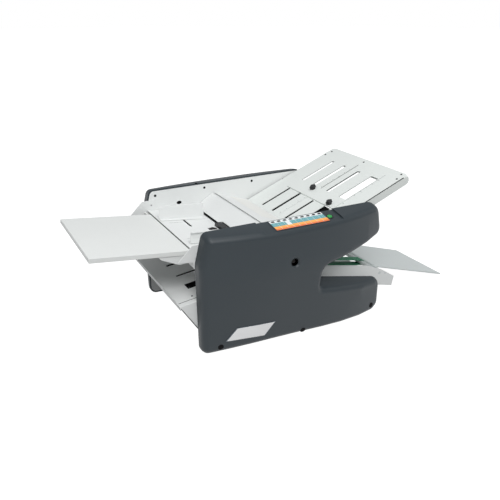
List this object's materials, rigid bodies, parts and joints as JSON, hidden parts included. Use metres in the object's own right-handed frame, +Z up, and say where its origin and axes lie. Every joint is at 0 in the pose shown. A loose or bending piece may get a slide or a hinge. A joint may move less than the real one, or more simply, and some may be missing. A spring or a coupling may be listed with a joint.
{
  "type": "paper folding machine",
  "caption": "Desk machine that feeds sheets from a side table through two slotted fold tables and geared rollers, then out onto a belt conveyor, between two slate side covers.",
  "frame": {"origin": "on the desk, under the middle of the machine's whole length and width", "axes": "+X the way the paper travels, from the feed table to the delivery end; -Y the side with the control panel; +Z up"},
  "size_m": [1.0548, 0.4736, 0.3591],
  "materials": {
    "slate_plastic": "satin",
    "white_sheet": "satin",
    "pale_sheet": "satin",
    "label": "satin",
    "steel": "brushed",
    "brass": "satin",
    "black_plastic": "matt",
    "green_plastic": "gloss",
    "roller_rubber": "matt",
    "belt_rubber": "matt",
    "green_belt": "matt"
  },
  "bodies": {
    "machine": {"near_side_frame": "white_sheet", "far_side_frame": "white_sheet", "near_cover": "slate_plastic", "far_cover": "slate_plastic", "control_panel_plate": "label", "feed_table": "white_sheet", "extension_hinge_rod": "steel", "far_extension_bracket": "white_sheet", "near_extension_bracket": "white_sheet", "upper_table_rod_1": "steel", "upper_table_rod_2": "steel", "conveyor_rod_1": "steel", "conveyor_rod_2": "steel", "separator_rod": "steel", "separator_holder": "black_plastic", "separator_pad": "roller_rubber", "top_plate": "white_sheet", "feed_chute": "steel", "base_pan": "steel", "drive_motor": "steel", "drive_belt": "belt_rubber", "feed_drive_belt": "belt_rubber", "conveyor_drive_belt": "belt_rubber", "upper_fold_table": "white_sheet", "upper_fold_base": "white_sheet", "lower_fold_table": "white_sheet", "lower_fold_base": "white_sheet", "conveyor_tray": "pale_sheet", "near_delivery_belt": "green_belt", "far_delivery_belt": "green_belt", "rubber_foot_1": "roller_rubber", "rubber_foot_2": "roller_rubber", "rubber_foot_3": "roller_rubber", "rubber_foot_4": "roller_rubber", "power_inlet": "black_plastic"},
    "feed_extension": {"feed_table_extension": "white_sheet"},
    "far_guide": {"far_paper_guide": "white_sheet"},
    "near_guide": {"near_paper_guide": "white_sheet"},
    "roller_cover": {"feed_roller_cover": "white_sheet"},
    "start_button": {"start_button": "green_plastic"},
    "upper_stop": {"upper_paper_stop": "pale_sheet"},
    "upper_knob_1": {"upper_stop_knob_1": "black_plastic"},
    "upper_knob_2": {"upper_stop_knob_2": "black_plastic"},
    "lower_stop": {"lower_paper_stop": "pale_sheet"},
    "lower_knob": {"lower_stop_knob": "black_plastic"},
    "exit_flap": {"exit_extension": "pale_sheet"},
    "first_roller": {"fold_roller_1": "roller_rubber", "drive_gear_1": "brass"},
    "second_roller": {"fold_roller_2": "roller_rubber", "drive_gear_2": "brass"},
    "third_roller": {"fold_roller_3": "roller_rubber", "drive_gear_3": "brass"},
    "fourth_roller": {"fold_roller_4": "roller_rubber", "drive_gear_4": "brass", "driven_pulley": "steel"},
    "motor_drive": {"motor_pulley": "steel"},
    "feed_drive": {"feed_shaft": "steel", "feed_roller": "roller_rubber"},
    "conveyor_drive": {"conveyor_drive_roller": "steel"},
    "conveyor_end": {"conveyor_end_roller": "steel"}
  },
  "joints": [
    {"name": "feed_extension_fold", "type": "hinge", "parent": "machine", "child": "feed_extension", "pos_m": [-0.30059, 0, 0.25016], "axis": [0, 1, 0], "range_deg": [0, 88]},
    {"name": "far_guide_slide", "type": "slide", "parent": "machine", "child": "far_guide", "axis": [0, 1, 0], "range_m": [-0.037, 0.02]},
    {"name": "near_guide_slide", "type": "slide", "parent": "machine", "child": "near_guide", "axis": [0, 1, 0], "range_m": [-0.013, 0.034]},
    {"name": "roller_cover_lift", "type": "hinge", "parent": "machine", "child": "roller_cover", "pos_m": [-0.1035, 0, 0.274], "axis": [0, 1, 0], "range_deg": [0, 75]},
    {"name": "start_button_press", "type": "slide", "parent": "machine", "child": "start_button", "axis": [0, 0.1736, -0.9848], "range_m": [0, 0.002], "stiffness_N_per_m": 300},
    {"name": "upper_stop_slide", "type": "slide", "parent": "machine", "child": "upper_stop", "axis": [0.9272, 0, 0.3746], "range_m": [-0.095, 0.13]},
    {"name": "upper_knob_1_turn", "type": "hinge", "parent": "upper_stop", "child": "upper_knob_1", "pos_m": [0.13337, 0.02, 0.29204], "axis": [-0.3746, 0, 0.9272], "range_deg": [0, 180]},
    {"name": "upper_knob_2_turn", "type": "hinge", "parent": "upper_stop", "child": "upper_knob_2", "pos_m": [0.11297, -0.088, 0.2838], "axis": [-0.3746, 0, 0.9272], "range_deg": [0, 180]},
    {"name": "lower_stop_slide", "type": "slide", "parent": "machine", "child": "lower_stop", "axis": [0.9914, 0, 0.1305], "range_m": [-0.085, 0.06]},
    {"name": "lower_knob_turn", "type": "hinge", "parent": "lower_stop", "child": "lower_knob", "pos_m": [-0.20122, 0.008, 0.15667], "axis": [-0.1305, 0, 0.9914], "range_deg": [0, 180]},
    {"name": "exit_flap_fold", "type": "hinge", "parent": "machine", "child": "exit_flap", "pos_m": [0.2655, 0, 0.08194], "axis": [0, -1, 0], "range_deg": [0, 85]},
    {"name": "first_roller_spin", "type": "hinge", "parent": "machine", "child": "first_roller", "pos_m": [-0.0805, 0, 0.219], "axis": [0, 1, 0], "continuous": true},
    {"name": "second_roller_spin", "type": "hinge", "parent": "machine", "child": "second_roller", "pos_m": [-0.07061, 0, 0.19452], "axis": [0, 1, 0], "continuous": true},
    {"name": "third_roller_spin", "type": "hinge", "parent": "machine", "child": "third_roller", "pos_m": [-0.04898, 0, 0.17938], "axis": [0, 1, 0], "continuous": true},
    {"name": "fourth_roller_spin", "type": "hinge", "parent": "machine", "child": "fourth_roller", "pos_m": [-0.06413, 0, 0.15775], "axis": [0, 1, 0], "continuous": true},
    {"name": "motor_spin", "type": "hinge", "parent": "machine", "child": "motor_drive", "pos_m": [-0.1445, 0, 0.07], "axis": [0, 1, 0], "continuous": true},
    {"name": "feed_roller_spin", "type": "hinge", "parent": "machine", "child": "feed_drive", "pos_m": [-0.1825, 0, 0.22824], "axis": [0, 1, 0], "continuous": true},
    {"name": "conveyor_drive_spin", "type": "hinge", "parent": "machine", "child": "conveyor_drive", "pos_m": [-0.0295, 0, 0.1448], "axis": [0, 1, 0], "continuous": true},
    {"name": "conveyor_end_spin", "type": "hinge", "parent": "machine", "child": "conveyor_end", "pos_m": [0.2455, 0, 0.08634], "axis": [0, 1, 0], "continuous": true}
  ],
  "couplings": [
    {"joint": "second_roller_spin", "follows": "first_roller_spin", "ratio": -1},
    {"joint": "third_roller_spin", "follows": "first_roller_spin", "ratio": 1},
    {"joint": "fourth_roller_spin", "follows": "first_roller_spin", "ratio": -1},
    {"joint": "motor_spin", "follows": "first_roller_spin", "ratio": -2.2222},
    {"joint": "feed_roller_spin", "follows": "first_roller_spin", "ratio": -1},
    {"joint": "conveyor_drive_spin", "follows": "first_roller_spin", "ratio": -1},
    {"joint": "conveyor_end_spin", "follows": "first_roller_spin", "ratio": -1}
  ]
}
